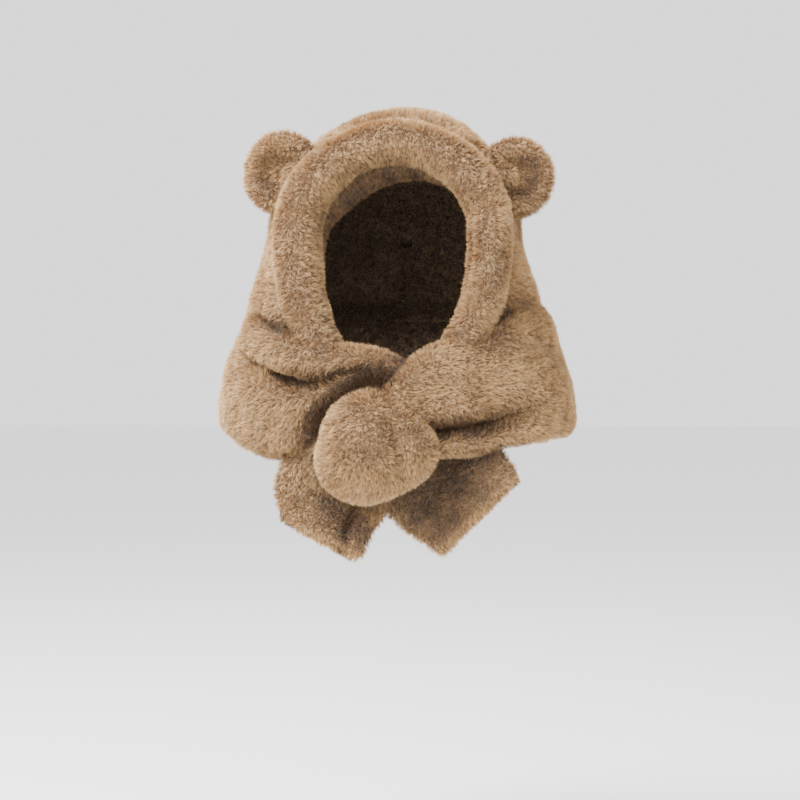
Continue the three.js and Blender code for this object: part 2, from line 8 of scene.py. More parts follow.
import bpy
import numpy as np
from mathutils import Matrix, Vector

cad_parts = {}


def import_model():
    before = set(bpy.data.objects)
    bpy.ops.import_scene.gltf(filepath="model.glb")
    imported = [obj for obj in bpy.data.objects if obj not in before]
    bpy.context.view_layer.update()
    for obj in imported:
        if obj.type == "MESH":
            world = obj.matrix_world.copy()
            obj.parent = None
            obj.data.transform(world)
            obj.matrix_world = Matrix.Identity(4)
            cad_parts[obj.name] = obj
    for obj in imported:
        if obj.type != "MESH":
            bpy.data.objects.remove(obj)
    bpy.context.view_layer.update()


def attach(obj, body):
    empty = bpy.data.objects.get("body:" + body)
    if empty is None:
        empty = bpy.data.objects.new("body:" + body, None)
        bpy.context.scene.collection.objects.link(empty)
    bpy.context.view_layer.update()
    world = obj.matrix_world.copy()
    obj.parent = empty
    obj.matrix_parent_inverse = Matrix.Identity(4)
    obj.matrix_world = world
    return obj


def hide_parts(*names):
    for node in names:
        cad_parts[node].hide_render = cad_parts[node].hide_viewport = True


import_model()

# Sizes of the hood, its walls, its face roll and its hem, the same as the solids'
HOOD_WIDTH = 0.270
HOOD_DEPTH = 0.219
HOOD_BACK = 0.118
HOOD_DROP = 0.214
HOOD_SWAY = 0.009
SIDE_DROP = 0.122
FRONT_DIP = 0.045
FRONT_NARROWING = 0.032
CHIN_TUCK = 0.034
CHIN_DROP = 0.030
SIDE_FLARE = 0.034
NECK_TUCK = 0.012
FLARE_AHEAD = 0.7
FLARE_RISE = 1.15
TUCK_RISE = 2.2
TUCK_FADE = 5
CORNER_FADE = 3
SEAM_START = 0.5
SEAM_FADE = 4
FRONT_LEAN = math.radians(8)
SHELL_WALL = 0.014
LINING_WALL = 0.005
LINING_START = 0.10  # share of the hood's depth where the lining begins
CLEARANCE = 0.0003
BAND_WIDTH = 0.048
BAND_DEPTH = 0.054
HEM_ROOT = 0.002
HEM_DEPTH = 0.044
HEM_SETBACK = 0.034
DOME_ROUNDNESS = 1.95
BACK_ROUNDNESS = 2.4
WIDEST = 0.42
HIGHEST = 0.46
DOME_SHARE = 0.56

# Sizes of the ears, the scarf, the knot and the tails. The ears' dish and the knot's valley are
# deeper than the solids', because the pile fills them.
EAR_DIAMETER = 0.087
EAR_THICKNESS = 0.030
EAR_SPREAD = 0.242
EAR_DROP = 0.062
EAR_SETBACK = 0.050
EAR_DISH = 0.011
EAR_TURN = math.radians(12)
EAR_RIM_FULLNESS = 0.62
EAR_FACE_FULLNESS = 0.8
DISH_REACH = 0.62
TONGUE_WIDTH = 0.26
TONGUE_LENGTH = 0.62
TONGUE_START = 0.5
SCARF_SPAN = 0.383
SCARF_BACK = 0.118
SCARF_DEPTH = 0.286
SCARF_DROP = 0.258
STRIP_WIDTH = 0.138
STRIP_THICKNESS = 0.036
KNOT_WIDTH = 0.118
KNOT_HEIGHT = 0.110
KNOT_DEPTH = 0.076
GATHER_DEPTH = 0.05
GATHER_TURNS = 3
GATHER_START = math.radians(34)
CORNER_SOFTNESS = 0.1
WRAP_DEPTH = 0.42
WRAP_PLACE = 0.42
WRAP_WIDTH = 0.13
KNOT_PLACE = (-0.025 * SCARF_SPAN, SCARF_BACK - 1.035 * SCARF_DEPTH, -1.313 * SCARF_DROP)
TAIL_WIDTH = 0.122
TAIL_THICKNESS = 0.030
TAIL_REACH = 0.132
STRIP_FULLNESS = 2.6  # power of the strips' superellipse
STRIP_SIDES = 88
END_TURNS = np.radians(np.linspace(8, 86, 9))  # the rings that round off a strip's end
END_NARROWING = 1.1
FRONT_FADE = 3  # how fast a fold fades out at the sides
ROLL_END_TURNS = np.radians(np.linspace(86, 10, 8))  # the rings that round off a roll's end
EDGE_STEPS = 801  # steps in which the hood's front edge is measured
EDGE_DEPTH = 0.002  # share of the hood's depth over which its front edge's normals are taken

# The pile
PILE_DEPTH = 0.0048  # how far each skin lies inside its solid
STRAND_LENGTH = 0.0074
STRAND_WIDTH = 0.00084
CLUMP_STRANDS = 13  # strands that draw together into one clump
CLUMP_PULL = 0.5
PILE_LEAN = 0.75
SWIRL_SHARE, SWIRL_SIZE = 0.5, 0.060  # the broad turns of the nap
RUFFLE_SHARE, RUFFLE_SIZE = 0.35, 0.013  # its narrow ones
EVEN_HEIGHT = 0.84  # the part of a strand's length that doesn't vary
STRAY = 0.42  # how far each strand's own way strays from the nap
TUFT_LENGTH = 0.0042
TUFT_WIDTH = 0.0016
TUFT_LEAN = 0.9
SHORTEST = 0.45  # the shortest strands, in folds, as a share of the full length
HOLLOW_START = 0.002  # a hollow this deep starts to shorten the pile and to paint shade into it
HOLLOW_SHORTENING = 0.006
HOLLOW_PAINTED_SHADE = 0.014
SHADE_WIDTH = 0.012  # width of a strand on its colour map
SHADOW_STRENGTH = 1.3
SHADOW_START = 0.04
DARKEST = 0.75
SHADOW_SPACING = 0.012
SHADOW_REACH = 0.13  # how far away a neighbour still darkens the pile
SHADOW_SHARE = 0.34  # the dark end of the map of shades, kept for the pile in shadow

UP = np.array([0.0, 0.0, 1.0])


def table(columns, *rows):
    """Named columns of numbers, one row for each section."""
    return {name: np.array(column) for name, column in zip(columns.split(), zip(*rows))}


BAND = table(
    "width depth fore",
    (0.90, 0.84, 0.20),
    (1.04, 0.94, 0.06),
    (1.04, 1.00, 0.00),
    (1.00, 1.00, 0.00),
    (0.94, 1.00, 0.00),
    (0.96, 1.00, 0.00),
    (0.96, 1.00, 0.00),
    (0.94, 0.92, 0.06),
    (0.82, 0.84, 0.20),
)
HEM = table(
    "depth hang",
    (0.7, -0.30),
    (0.9, -0.18),
    (1.0, 0.00),
    (1.0, 0.26),
    (1.0, 0.14),
    (1.0, -0.14),
    (0.9, -0.18),
    (0.9, -0.22),
    (0.7, -0.30),
)
SCARF_RIGHT = table(
    "out fore drop tall thick lean crease place",
    (0.00, 0.000, 1.000, 0.98, 0.83, 8, 0.00, -0.62),
    (0.35, 0.030, 1.000, 1.00, 0.83, 11, 0.00, -0.62),
    (0.65, 0.150, 1.000, 1.03, 0.89, 13, 0.00, -0.62),
    (0.80, 0.340, 1.005, 1.05, 0.95, 15, 0.00, -0.62),
    (0.795, 0.560, 1.015, 1.05, 1.00, 15, 0.00, -0.62),
    (0.68, 0.745, 1.040, 0.99, 1.05, 15, 0.04, -0.50),
    (0.46, 0.870, 1.110, 0.85, 1.11, 14, 0.82, -0.46),
    (0.23, 0.950, 1.145, 0.81, 1.11, 10, 0.88, -0.44),
    (0.04, 1.000, 1.225, 0.64, 1.05, 4, 0.35, -0.44),
    (-0.08, 1.010, 1.280, 0.50, 0.95, 0, 0.00, -0.50),
)
SCARF_LEFT = table(
    "out fore drop tall thick lean crease place",
    (0.00, 0.000, 1.000, 0.98, 0.83, 8, 0.00, 0.40),
    (0.35, 0.030, 1.000, 1.00, 0.83, 11, 0.00, 0.40),
    (0.68, 0.150, 1.000, 1.03, 0.89, 13, 0.00, 0.40),
    (0.85, 0.340, 0.990, 1.02, 0.95, 14.5, 0.00, 0.40),
    (0.855, 0.550, 1.010, 1.00, 1.05, 14.5, 0.04, 0.42),
    (0.74, 0.730, 1.070, 0.97, 1.20, 12, 0.38, 0.42),
    (0.55, 0.820, 1.118, 0.94, 1.30, 4, 0.80, 0.38),
    (0.36, 0.860, 1.100, 0.74, 1.22, 0, 0.78, 0.26),
    (0.18, 0.885, 1.020, 0.38, 1.05, 0, 0.15, 0.00),
    (0.00, 0.885, 1.050, 0.34, 0.95, 0, 0.00, 0.00),
    (-0.10, 0.880, 1.080, 0.30, 0.85, 0, 0.00, 0.00),
)
TAIL_LEFT = table(
    "across down wide thick heading back crease place",
    (-0.10, 0.080, 0.64, 0.90, 124, 0.15, 0.00, 0.42),
    (-0.27, 0.250, 0.90, 1.00, 125, 0.45, 0.25, 0.44),
    (-0.38, 0.380, 0.99, 1.00, 126, 0.45, 0.50, 0.48),
    (-0.44, 0.510, 0.95, 0.95, 123, 0.20, 0.50, 0.52),
    (-0.43, 0.620, 0.86, 0.70, 118, 0.00, 0.20, 0.56),
)
TAIL_RIGHT = table(
    "across down wide thick heading back crease place",
    (0.10, 0.020, 0.66, 0.90, 40, 0.05, 0.00, 0.00),
    (0.28, 0.130, 0.90, 1.00, 43, 0.45, 0.00, 0.00),
    (0.45, 0.250, 1.02, 1.00, 45, 0.60, 0.00, 0.00),
    (0.60, 0.360, 1.02, 0.90, 46, 0.25, 0.00, 0.00),
    (0.72, 0.455, 0.98, 0.60, 46, -0.15, 0.00, 0.00),
)
# Each kind of fold: how far it reaches above and below its line, as shares of half its strip's
# width, and the power of its fall-off on each side
SOFT_FOLD = ((0.18, 1.1), (0.18, 1.1))
PLEAT = ((0.045, 1.0), (0.32, 2.4))  # steep under its upper lip, with a pocket below
OVERLAP = ((0.07, 1.0), (0.2, 1.5))  # one roll that hangs over the next
LINING_FULLNESS = 0.009  # how far the neck lining swells inwards below the hood's lower edge


def row_value(rows, share, column):
    """A table's column at a share of the way from its first row to its last: a cubic between each
    two rows, whose slope at a row is half the difference of its neighbours."""
    values = rows[column]
    last = len(values) - 1
    place = np.clip(share, 0, 1) * last
    i = np.minimum(place.astype(int), last - 1)
    f = place - i

    def at(k):
        return values[np.clip(k, 0, last)]

    start_slope = (at(i + 1) - at(i - 1)) / 2
    end_slope = (at(i + 2) - at(i)) / 2
    rise = at(i + 1) - at(i)
    bend = 3 * rise - 2 * start_slope - end_slope
    return at(i) + f * (start_slope + f * (bend + f * (start_slope + end_slope - 2 * rise)))


def unit(vectors):
    """Each vector divided by its length."""
    return vectors / np.maximum(np.linalg.norm(vectors, axis=-1, keepdims=True), 1e-12)


def wave(points, size, seed):
    """A smooth pattern between about -1 and 1: the mean of six sine waves of about the given
    wavelength that run in seeded directions."""
    rng = np.random.default_rng(seed)
    directions = unit(rng.normal(size=(6, 3)))
    pitch = rng.uniform(0.7, 1.4, 6) * 2 * np.pi / size
    phase = rng.uniform(0, 2 * np.pi, 6)
    return np.sin(points @ (directions * pitch[:, None]).T + phase).mean(axis=-1) * 1.6


def steps(points, axis, closed):
    """The change of a grid of points along one of its ways, round the join where it is closed."""
    if closed:
        return (np.roll(points, -1, axis) - np.roll(points, 1, axis)) / 2
    return np.gradient(points, axis=axis)


def grid_normals(points, closed):
    """The cross product of a grid's two ways at each of its points."""
    return unit(np.cross(steps(points, 1, closed), steps(points, 0, False)))


# Forms


def hood_surface(across, along):
    """The hood's outer surface. Across runs from -1 at the left foot over the crown to 1, and along
    from 0 at the front edge to 1 at the seam down the back. Each arch is a superellipse on two
    straight legs, and the arches round off towards the back as another superellipse."""
    side = np.abs(across)
    dome_height = LINING_WALL + CLEARANCE + SHELL_WALL + SIDE_DROP

    def behind(place):
        share = np.clip((along - place) / (1 - place), 0, 1)
        return (1 - share**BACK_ROUNDNESS) ** (1 / BACK_ROUNDNESS)

    def before(place):
        return np.clip((place - along) / place, 0, None) ** 2

    half_width = HOOD_WIDTH / 2 * behind(WIDEST) - FRONT_NARROWING * before(WIDEST)
    height = dome_height * behind(HIGHEST) - FRONT_DIP * before(HIGHEST)
    angle = np.minimum(1, side / DOME_SHARE) * np.pi / 2
    leg = np.clip((side - DOME_SHARE) / (1 - DOME_SHARE), 0, None)
    power = 2 / DOME_ROUNDNESS
    flare = SIDE_FLARE * np.sin(np.pi * along**FLARE_AHEAD) * leg**FLARE_RISE
    tuck = CHIN_TUCK * (1 - along) ** TUCK_FADE * leg**TUCK_RISE
    seam = NECK_TUCK * np.clip((leg - SEAM_START) / (1 - SEAM_START), 0, None) ** 2
    settled = np.sin(np.pi / 2 * np.minimum(1, along / WIDEST))
    sway = HOOD_SWAY * settled * np.minimum(1, side / DOME_SHARE)
    foot = HOOD_DROP + CHIN_DROP * (1 - along) ** CORNER_FADE
    turned_in = tuck + seam * behind(WIDEST) * (1 - (1 - along) ** SEAM_FADE)
    x = np.sign(across) * (half_width * np.sin(angle) ** power + flare - turned_in) - sway
    dome = height * np.clip(np.cos(angle), 0, None) ** power
    z = -SIDE_DROP + np.where(leg > 0, -leg * (foot - SIDE_DROP), dome)
    lean = np.tan(FRONT_LEAN) * (z + SIDE_DROP) * (1 - along)
    y = HOOD_BACK - HOOD_DEPTH * (1 - along) + lean - seam * along**SEAM_FADE
    return np.stack(np.broadcast_arrays(x, y, z), axis=-1)


def hood_grid(inset, alongs, columns):
    """The hood's surface moved inset metres inwards along its normals. On the seam down the back
    both sides share one normal."""
    across = np.linspace(-1, 1, columns)[None, :]
    points = hood_surface(across, alongs[:, None])
    normals = grid_normals(points, False)
    if alongs[-1] == 1:
        shared = normals[-1] + normals[-1, ::-1]
        normals[-1] = unit(shared * [0, 1, 1])
    return points - normals * (inset if np.ndim(inset) == 0 else inset[:, None, None])


def hood_rows(first, count):
    """Shares of the hood's depth, closer together where the back rounds off."""
    return first + (1 - first) * np.sin(np.linspace(0, np.pi / 2, count))


def strip_profile(sections, sides, inset, fold=SOFT_FOLD):
    """A closed superellipse across a strip at each of its sections, with a fold sunk into its outer
    side: two full rolls that meet in a line. The depth falls off from the line as the exponential
    of minus a power of the distance over the fold's reach, with its own reach and power above the
    line and below it."""
    angle = np.linspace(0, 2 * np.pi, sides, endpoint=False)
    v = -np.cos(angle)
    u = np.sign(np.sin(angle)) * (1 - np.abs(v) ** STRIP_FULLNESS) ** (1 / STRIP_FULLNESS)
    wide = np.maximum(sections["half_wide"] - inset, 0.001)[:, None, None]
    thick = np.maximum(sections["half_thick"] - inset, 0.0003)[:, None, None]
    away = v - sections["place"][:, None]
    (above, above_power), (below, below_power) = fold
    rise, drop = np.abs(away / above) ** above_power, np.abs(away / below) ** below_power
    fall = np.where(away > 0, rise, drop)
    front = np.clip(np.sin(angle) * FRONT_FADE, 0, 1)
    sunk = sections["crease"][:, None] * np.exp(-fall) * front
    flat = sections["centre"][:, None] + sections["across"][:, None] * (v[:, None] * wide)
    return flat + sections["out"][:, None] * (u[:, None] * thick - sunk[..., None])


def rounded(sections, at_start):
    """A strip's sections with one end rounded off as a quarter circle of half its thickness."""
    k = 0 if at_start else -1
    ahead = sections["ahead"][k] * (-1 if at_start else 1)
    half = sections["half_thick"][k]
    rows = {name: np.stack([value[k]] * len(END_TURNS)) for name, value in sections.items()}
    rows["centre"] = rows["centre"] + ahead * (half * np.sin(END_TURNS))[:, None]
    rows["half_wide"] = rows["half_wide"] - half * END_NARROWING * (1 - np.cos(END_TURNS))
    rows["half_thick"] = rows["half_thick"] * np.cos(END_TURNS)
    rows["crease"] = rows["crease"] * np.cos(END_TURNS)
    if at_start:
        return {name: np.concatenate([rows[name][::-1], value]) for name, value in sections.items()}
    return {name: np.concatenate([value, rows[name]]) for name, value in sections.items()}


def scarf_sections(rows, side, count):
    """Sections of one half of the scarf, side 1 for the right and -1 for the left, from the seam at
    the middle of the back to the front."""
    share = np.linspace(0, 1, count)

    def middle(at):
        out = row_value(rows, at, "out") * SCARF_SPAN / 2
        out = np.where(at == 0, CLEARANCE / 2, out)
        y = SCARF_BACK - row_value(rows, at, "fore") * SCARF_DEPTH
        return np.stack([side * out, y, -row_value(rows, at, "drop") * SCARF_DROP], axis=-1)

    ahead = middle(np.minimum(1, share + 0.01)) - middle(np.maximum(0, share - 0.01))
    ahead[:, 2] = 0
    ahead[0] = [side, 0, 0]
    ahead = unit(ahead)
    level = -side * np.cross(ahead, UP)
    lean = np.radians(row_value(rows, share, "lean"))[:, None]
    return {
        "centre": middle(share),
        "ahead": ahead,
        "across": UP * np.cos(lean) - level * np.sin(lean),
        "out": level * np.cos(lean) + UP * np.sin(lean),
        "half_wide": row_value(rows, share, "tall") * STRIP_WIDTH / 2,
        "half_thick": row_value(rows, share, "thick") * STRIP_THICKNESS / 2,
        "crease": np.maximum(0, row_value(rows, share, "crease")) * STRIP_THICKNESS,
        "place": row_value(rows, share, "place"),
    }


def tail_sections(rows, count):
    """Sections of one tail, from behind the knot to its square end."""
    share = np.linspace(0, 1, count)
    heading = np.radians(row_value(rows, share, "heading"))
    x = row_value(rows, share, "across") * TAIL_REACH
    y = KNOT_DEPTH / 2 + row_value(rows, share, "back") * TAIL_THICKNESS
    z = -row_value(rows, share, "down") * TAIL_REACH
    level = np.zeros(count)
    return {
        "centre": np.stack([x, y, z], axis=-1) + KNOT_PLACE,
        "ahead": np.stack([np.cos(heading), level, -np.sin(heading)], axis=-1),
        "across": np.stack([np.sin(heading), level, np.cos(heading)], axis=-1),
        "out": np.stack([level, level - 1, level], axis=-1),
        "half_wide": row_value(rows, share, "wide") * TAIL_WIDTH / 2,
        "half_thick": row_value(rows, share, "thick") * TAIL_THICKNESS / 2,
        "crease": np.maximum(0, row_value(rows, share, "crease")) * TAIL_THICKNESS,
        "place": row_value(rows, share, "place"),
    }


def roll_grid(half_wide, half_deep, inward, setback, sides, inset, slope=0, fullness=2):
    """A superellipse carried along the hood's front edge, with rounded ends. The sizes are arrays
    with one value for each step along the edge. slope is how much further out the front of the
    profile lies than its back."""
    edge = hood_grid(SHELL_WALL / 2, np.array([0, EDGE_DEPTH]), EDGE_STEPS)[0]
    run = np.concatenate([[0], np.cumsum(np.linalg.norm(np.diff(edge, axis=0), axis=1))])
    count = len(half_wide)
    at = np.linspace(0, run[-1], count)
    path = np.stack([np.interp(at, run, edge[:, k]) for k in range(3)], axis=-1)
    tangent = unit(np.gradient(path, axis=0))
    into = np.array([0, math.cos(FRONT_LEAN), -math.sin(FRONT_LEAN)])
    outward = unit(np.cross(tangent, into))
    centre = path - outward * inward[:, None] + into * setback[:, None]
    turn, back_turn = ROLL_END_TURNS, ROLL_END_TURNS[::-1]
    reach = np.concatenate([-np.sin(turn), np.zeros(count), np.sin(back_turn)])
    squeeze = np.concatenate([np.cos(turn), np.ones(count), np.cos(back_turn)])
    pick = np.clip(np.arange(-len(turn), count + len(turn)), 0, count - 1)
    wide = (half_wide[pick] - inset) * squeeze
    deep = (half_deep[pick] - inset) * squeeze
    middle = centre[pick] + tangent[pick] * (reach * (half_wide[pick] - inset))[:, None]
    angle = np.linspace(0, 2 * np.pi, sides, endpoint=False)
    c, d = (np.sign(w) * np.abs(w) ** (2 / fullness) for w in (np.cos(angle), np.sin(angle)))
    shift = (np.zeros(count) + slope)[pick][:, None] * (1 - d) / 2
    over = outward[pick][:, None] * (c * wide[:, None] + shift)[..., None]
    back = into * (d * deep[:, None])[..., None]
    return middle[:, None] + over + back


BAND_STEPS = 150
BAND_SIDES = 48
GROOVES = table(  # along the roll as shares of its run, round it in degrees
    "depth place length angle spread",
    (0.24, 0.78, 0.13, 216, 19),
    (0.07, 0.44, 0.08, 262, 24),
)


def band_grid(inset):
    """The padded roll round the face, with a soft groove down the inner front of its right half and
    a fainter one over its top."""
    share = np.linspace(0, 1, BAND_STEPS)
    half_wide = row_value(BAND, share, "width") * BAND_WIDTH / 2
    half_deep = row_value(BAND, share, "depth") * BAND_DEPTH / 2
    setback = -row_value(BAND, share, "fore") * BAND_DEPTH
    points = roll_grid(half_wide, half_deep, np.zeros(BAND_STEPS), setback, BAND_SIDES, inset)
    middle = points.mean(axis=1, keepdims=True)
    along = np.linspace(0, 1, len(points))[:, None]
    angle = np.linspace(0, 360, BAND_SIDES, endpoint=False)[None, :]
    full = 1
    for depth, place, length, facing, spread in zip(*GROOVES.values()):
        away = ((along - place) / length) ** 2
        full = full - depth * np.exp(-away - ((angle - facing) / spread) ** 2)
    return middle + (points - middle) * full[..., None]


HEM_STEPS = 110
HEM_SIDES = 32
HEM_FULLNESS = 3
HEM_FORE = 0.010  # how much further forward its wall starts than the solid's
HEM_SLOPE = 0.003  # how far its front edge lies outside its back edge where it hangs level


def hem_grid(inset):
    """The hem behind the roll: a wall that starts inside the roll and slopes in towards the lining,
    furthest at the top left."""
    share = np.linspace(0, 1, HEM_STEPS)
    hang = row_value(HEM, share, "hang") * BAND_WIDTH
    reach = BAND_WIDTH / 2 + hang
    half_wide = np.maximum((reach - HEM_ROOT) / 2, inset + 0.001)
    half_deep = row_value(HEM, share, "depth") * (HEM_DEPTH / 2 + HEM_FORE)
    inward = (reach + HEM_ROOT) / 2
    setback = np.full(HEM_STEPS, HEM_SETBACK - HEM_FORE)
    slope = np.maximum(hang + HEM_SLOPE, 0)
    return roll_grid(half_wide, half_deep, inward, setback, HEM_SIDES, inset, slope, HEM_FULLNESS)


EAR_POLE = 0.03  # how near to its two poles an ear's first and last rings lie, in radians
KNOT_POLE = 0.04


def ear_grid(side, size, lift, tongue, inset):
    """A thick disc with a full rim: a ball whose sine and cosine are raised to a power each. Its
    front is sunk by a bell curve round its middle, apart from a fold that runs in from the hood
    and fades across its width and along its length as bell curves too."""
    radius = EAR_DIAMETER * size / 2 - inset
    half = EAR_THICKNESS / 2 - inset
    turn = np.linspace(EAR_POLE, np.pi - EAR_POLE, 40)[:, None]
    angle = np.linspace(0, 2 * np.pi, 56, endpoint=False)[None, :]
    reach = np.sin(turn) ** EAR_RIM_FULLNESS
    x = reach * np.cos(angle)
    z = reach * np.sin(angle)
    face = -np.sign(np.cos(turn)) * np.abs(np.cos(turn)) ** EAR_FACE_FULLNESS * half
    dish = np.where(turn < np.pi / 2, EAR_DISH * np.exp(-((reach / DISH_REACH) ** 4)), 0)
    fold = tongue * np.exp(-((z / TONGUE_WIDTH) ** 4) - ((side * x + TONGUE_START) / TONGUE_LENGTH) ** 2)
    y = face + dish * (1 - fold)
    x = x * radius
    z = z * radius
    turned = side * EAR_TURN
    front = HOOD_BACK - HOOD_DEPTH + EAR_SETBACK
    middle = np.array([side * EAR_SPREAD / 2, front, EAR_DIAMETER * lift - EAR_DROP])
    across = x * math.cos(turned) - y * math.sin(turned)
    fore = x * math.sin(turned) + y * math.cos(turned)
    return np.stack([across, fore, np.broadcast_to(z, x.shape)], axis=-1) + middle


def knot_grid(inset):
    """A full, slightly lopsided ball with shallow gathers, a cosine of the angle round it. Down its
    front runs a valley where the strip wraps over its right side: its depth falls off as the
    exponential of minus the distance from a slanting line over the valley's width."""
    polar = np.linspace(KNOT_POLE, np.pi - KNOT_POLE, 64)[:, None]
    angle = np.linspace(0, 2 * np.pi, 96, endpoint=False)[None, :]
    x = np.sin(polar) * np.cos(angle)
    z = np.sin(polar) * np.sin(angle)
    gather = GATHER_DEPTH * np.cos(GATHER_TURNS * angle + GATHER_START) * np.sin(polar) ** 2
    full = 1 + gather - CORNER_SOFTNESS * np.maximum(0, x) ** 2 * np.maximum(0, z)
    front = np.clip(np.cos(polar) * FRONT_FADE, 0, 1)
    valley = WRAP_DEPTH * np.exp(-np.abs(x + z / 4 - WRAP_PLACE) / WRAP_WIDTH) * front
    y = -np.cos(polar) * (1 - valley)
    sizes = np.array([KNOT_WIDTH, KNOT_DEPTH, KNOT_HEIGHT]) / 2 - inset
    return np.stack([x * full, y, z * full], axis=-1) * sizes + KNOT_PLACE


# Skins


def outwards(points):
    """A grid of closed rings with its rings turned so that its normals point away from their
    middles."""
    normals = grid_normals(points, True)
    away = points - points.mean(axis=1, keepdims=True)
    return points if (normals * away).sum() > 0 else points[:, ::-1]


BROAD_SWELL = 0.095
NARROW_SWELL = 0.036


def softened(points, closed, amount, seed):
    """A skin with the shallow, uneven swells of stuffed plush: broad ones and half as deep narrow
    ones, along its normals."""
    normals = grid_normals(points, closed)
    swell = wave(points, BROAD_SWELL, seed) + 0.5 * wave(points, NARROW_SWELL, seed + 1)
    return points + normals * (swell * amount)[..., None]


PRESS_DEPTH = 0.016
PRESS_REACH = 0.3  # as a share of the knot's size


def pressed_by_knot(points):
    """A skin whose front gives way round the knot: pushed back along +Y where it faces forward, by
    an amount that falls off with the distance from the knot as a bell curve."""
    sizes = np.array([KNOT_WIDTH, 2 * KNOT_DEPTH, KNOT_HEIGHT]) / 2
    away = np.linalg.norm((points - KNOT_PLACE) / sizes, axis=-1) - 1
    facing = np.clip(-grid_normals(points, True)[..., 1], 0, 1)
    push = PRESS_DEPTH * facing * np.exp(-((np.clip(away, 0, None) / PRESS_REACH) ** 2))
    return points + [0, 1, 0] * push[..., None]


def hollowness(points, closed, reach=0.009):
    """How deep each point of a grid lies below the middle of its neighbours a reach away, summed
    over the grid's two ways. It is 0 where the surface is flat or full."""
    normals = grid_normals(points, closed)
    deep = 0
    for axis in (0, 1):
        step = np.linalg.norm(np.diff(points, axis=axis), axis=-1).mean()
        k = max(1, round(reach / step))
        index = np.arange(points.shape[axis])
        if axis == 1 and closed:
            before, behind = (index - k) % len(index), (index + k) % len(index)
        else:
            before, behind = np.maximum(index - k, 0), np.minimum(index + k, len(index) - 1)
        middle = (points.take(before, axis) + points.take(behind, axis)) / 2
        deep = deep + ((middle - points) * normals).sum(axis=-1)
    return np.clip(deep, 0, None)


def object_of(name, points, faces):
    """A mesh object at the origin from points and triangles or quads, shaded smooth."""
    mesh = bpy.data.meshes.new(name)
    mesh.vertices.add(len(points))
    mesh.vertices.foreach_set("co", np.ascontiguousarray(points, dtype=np.float32).ravel())
    count, corners = faces.shape
    mesh.loops.add(count * corners)
    mesh.loops.foreach_set("vertex_index", faces.astype(np.int32).ravel())
    mesh.polygons.add(count)
    mesh.polygons.foreach_set("loop_start", np.arange(0, count * corners, corners, dtype=np.int32))
    mesh.polygons.foreach_set("use_smooth", np.ones(count, dtype=bool))
    mesh.update()
    piece = bpy.data.objects.new(name, mesh)
    bpy.context.scene.collection.objects.link(piece)
    return piece


def triangles(quads):
    """Each quad as two triangles."""
    return np.concatenate([quads[:, [0, 1, 2]], quads[:, [0, 2, 3]]])


def ring_skin(name, points):
    """A closed body from rings, each end closed by a fan round the middle of its ring."""
    rings, sides = points.shape[:2]
    index = np.arange(rings * sides).reshape(rings, sides)
    a = index[:-1]
    b = np.roll(index, -1, axis=1)[:-1]
    c = np.roll(index, -1, axis=1)[1:]
    d = index[1:]
    body = triangles(np.stack([a, b, c, d], axis=-1).reshape(-1, 4))
    first, last = index[0], index[-1]
    near = np.stack([np.roll(first, -1), first, np.full(sides, rings * sides)], axis=-1)
    far = np.stack([last, np.roll(last, -1), np.full(sides, rings * sides + 1)], axis=-1)
    middles = np.stack([points[0].mean(axis=0), points[-1].mean(axis=0)])
    places = np.concatenate([points.reshape(-1, 3), middles])
    return object_of(name, places, np.concatenate([body, near, far]))


def wall_skin(name, outer, inner):
    """A closed wall between two grids that match point for point, outer first."""
    rows, columns = outer.shape[:2]
    near = np.arange(rows * columns).reshape(rows, columns)
    far = near + rows * columns

    def strip(a, b, c, d):
        return np.stack([a, b, c, d], axis=-1).reshape(-1, 4)

    quads = [
        strip(near[:-1, :-1], near[:-1, 1:], near[1:, 1:], near[1:, :-1]),
        strip(far[:-1, :-1], far[1:, :-1], far[1:, 1:], far[:-1, 1:]),
        strip(near[:-1, 0], near[1:, 0], far[1:, 0], far[:-1, 0]),
        strip(near[:-1, -1], far[:-1, -1], far[1:, -1], near[1:, -1]),
        strip(near[0, :-1], far[0, :-1], far[0, 1:], near[0, 1:]),
        strip(near[-1, :-1], near[-1, 1:], far[-1, 1:], far[-1, :-1]),
    ]
    points = np.concatenate([outer.reshape(-1, 3), inner.reshape(-1, 3)])
    return object_of(name, points, triangles(np.concatenate(quads)))


# Plush


def samples_of(points, closed, spacing=0.008):
    """Places and normals on a grid, about spacing apart, for finding what lies buried in it."""
    normals = grid_normals(points, closed)
    down = max(1, int(spacing / max(np.linalg.norm(np.diff(points, axis=0), axis=-1).mean(), 1e-6)))
    along = max(1, int(spacing / max(np.linalg.norm(np.diff(points, axis=1), axis=-1).mean(), 1e-6)))
    return points[::down, ::along].reshape(-1, 3), normals[::down, ::along].reshape(-1, 3)


def nearest(points, places):
    """For each point the index of the nearest place, worked out block by block."""
    found = np.empty(len(points), dtype=np.int64)
    centre = places.mean(axis=0)
    near = (places - centre).astype(np.float32)
    half_square = (near**2).sum(axis=1) / 2
    for start in range(0, len(points), 4096):
        block = (points[start : start + 4096] - centre).astype(np.float32)
        found[start : start + 4096] = np.argmax(block @ near.T - half_square, axis=1)
    return found


ASIDE = 0.012  # how far to the side the nearest place may lie


def buried(points, solids, depth):
    """Which points lie more than depth inside any of the sampled solids, right under the place that
    is nearest to them."""
    hidden = np.zeros(len(points), dtype=bool)
    for places, normals in solids:
        low, high = places.min(axis=0), places.max(axis=0)
        close = np.nonzero(np.all((points > low) & (points < high), axis=1) & ~hidden)[0]
        if not len(close):
            continue
        k = nearest(points[close], places)
        gap = points[close] - places[k]
        below = -(gap * normals[k]).sum(axis=1)
        aside = np.linalg.norm(gap + normals[k] * below[:, None], axis=1)
        hidden[close[(below > depth) & (aside < ASIDE)]] = True
    return hidden


